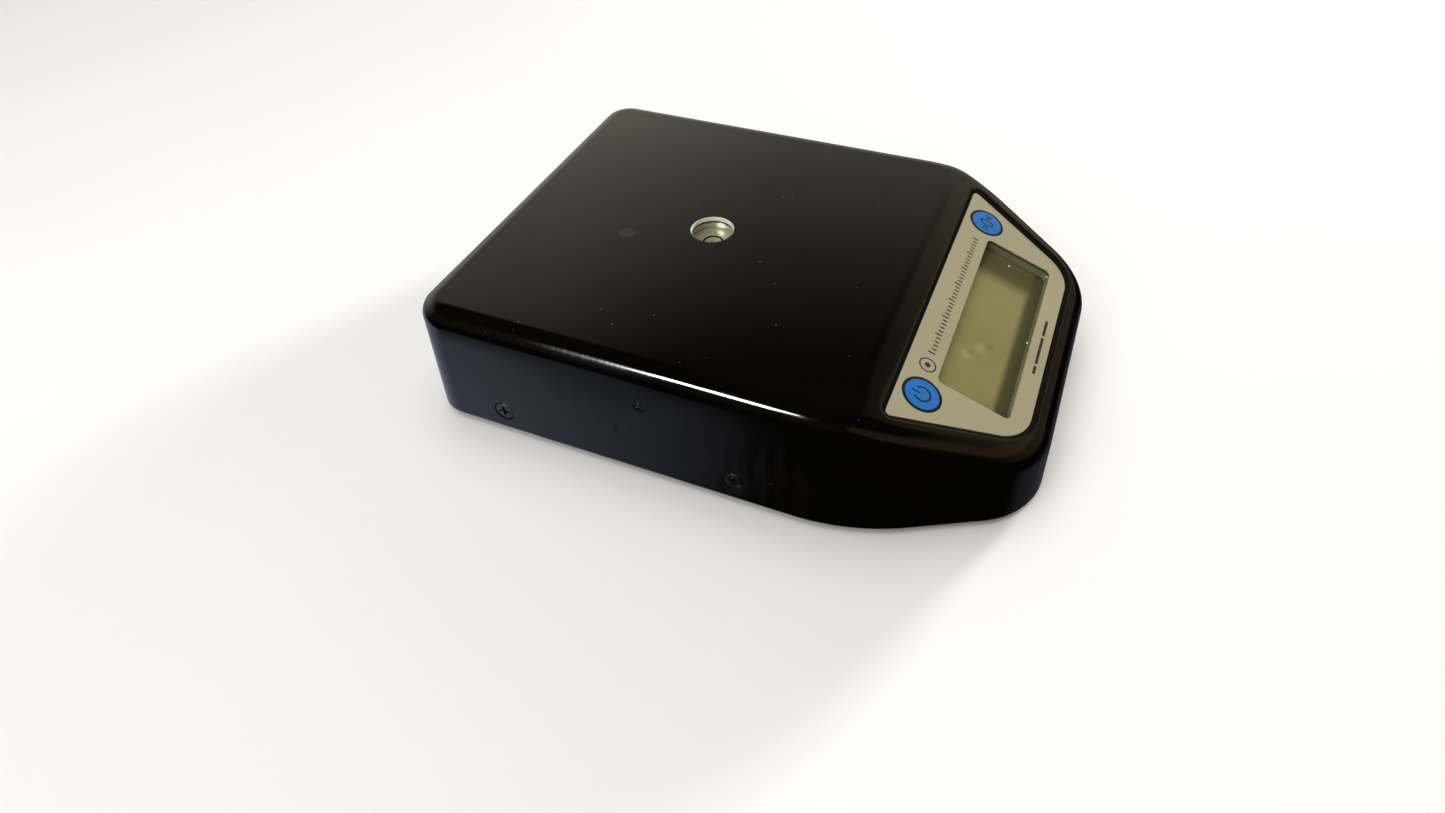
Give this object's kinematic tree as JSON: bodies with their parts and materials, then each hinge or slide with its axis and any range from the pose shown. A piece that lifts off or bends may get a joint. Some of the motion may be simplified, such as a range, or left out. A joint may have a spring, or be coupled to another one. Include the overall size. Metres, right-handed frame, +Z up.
{
  "type": "kitchen scale",
  "caption": "Low electronic kitchen scale with its platform lifted off: glossy black cover, turned hub in the middle, sloping display panel with keys.",
  "frame": {"origin": "middle of the footprint, on the surface that the rubber feet stand on", "axes": "+Z up, +Y to the back edge, the display panel slopes down towards -Y, +X to the zero key's side"},
  "size_m": [0.203, 0.2766, 0.062],
  "materials": {
    "cover_black": "gloss black skin on a pale moulding, lightly handled",
    "steel_pan": "zinc-plated sheet",
    "black_screw": "black oxide, worn to bare metal at the recess",
    "foot_rubber": "matt black rubber",
    "cell_aluminium": "satin milled",
    "hub_aluminium": "bright turned",
    "zinc_bolt": "zinc plated",
    "label_grey": "khaki grey printed polyester",
    "clear_lens": "clear acrylic with fine dust",
    "key_blue": "printed blue with a dark outline",
    "lcd_olive": "unlit reflective display",
    "bezel_olive": "moulded dark olive",
    "dark_plastic": "moulded black",
    "circuit_board": "green solder mask",
    "connector_white": "ivory nylon",
    "battery_case": "plain grey jacket",
    "lead_grey": "grey jacket",
    "lead_red": "red jacket"
  },
  "bodies": {
    "base": {"top_cover": "cover_black", "base_pan": "steel_pan", "cover_screw_1": "black_screw", "cover_screw_2": "black_screw", "cover_screw_3": "black_screw", "cover_screw_4": "black_screw", "foot_1": "foot_rubber", "foot_2": "foot_rubber", "foot_3": "foot_rubber", "foot_4": "foot_rubber", "mounting_block": "cell_aluminium", "load_cell": "cell_aluminium", "cell_bolt_1": "zinc_bolt", "cell_bolt_2": "zinc_bolt", "overload_stop": "zinc_bolt", "stop_nut": "zinc_bolt", "panel_label": "label_grey", "display_window": "clear_lens", "on_off_switch": "dark_plastic", "zero_switch": "dark_plastic", "lcd_glass": "lcd_olive", "lcd_frame": "bezel_olive", "contact_strip_1": "foot_rubber", "contact_strip_2": "foot_rubber", "main_board": "circuit_board", "board_screw_1": "zinc_bolt", "board_screw_2": "zinc_bolt", "board_screw_3": "zinc_bolt", "board_screw_4": "zinc_bolt", "controller_chip": "dark_plastic", "converter_chip": "dark_plastic", "capacitor": "dark_plastic", "cell_connector": "connector_white", "power_connector": "connector_white", "battery_box": "dark_plastic", "battery": "battery_case", "battery_snap": "dark_plastic", "power_jack": "dark_plastic", "cell_lead": "lead_grey", "battery_lead": "lead_red", "jack_lead": "lead_grey"},
    "platform_mount": {"arm_spacer": "cell_aluminium", "load_arm": "steel_pan", "platform_hub": "hub_aluminium", "hub_bolt": "zinc_bolt", "arm_bolt_1": "zinc_bolt", "arm_bolt_2": "zinc_bolt"},
    "on_off_button": {"on_off_key": "key_blue"},
    "zero_button": {"zero_key": "key_blue"},
    "battery_lid": {"battery_door": "dark_plastic"}
  },
  "joints": [
    {"name": "platform_load", "type": "slide", "parent": "base", "child": "platform_mount", "axis": [0, 0, 1], "range_m": [-0.0004, 0], "stiffness_N_per_m": 20000, "springref_m": 0.0003},
    {"name": "on_off_press", "type": "slide", "parent": "base", "child": "on_off_button", "axis": [0, 0.3502, -0.9367], "range_m": [0, 0.0004], "stiffness_N_per_m": 60, "springref_m": -0.0006},
    {"name": "zero_press", "type": "slide", "parent": "base", "child": "zero_button", "axis": [0, 0.3502, -0.9367], "range_m": [0, 0.0004], "stiffness_N_per_m": 60, "springref_m": -0.0006},
    {"name": "battery_door_slide", "type": "slide", "parent": "base", "child": "battery_lid", "axis": [0, 1, 0], "range_m": [0, 0.03]}
  ]
}
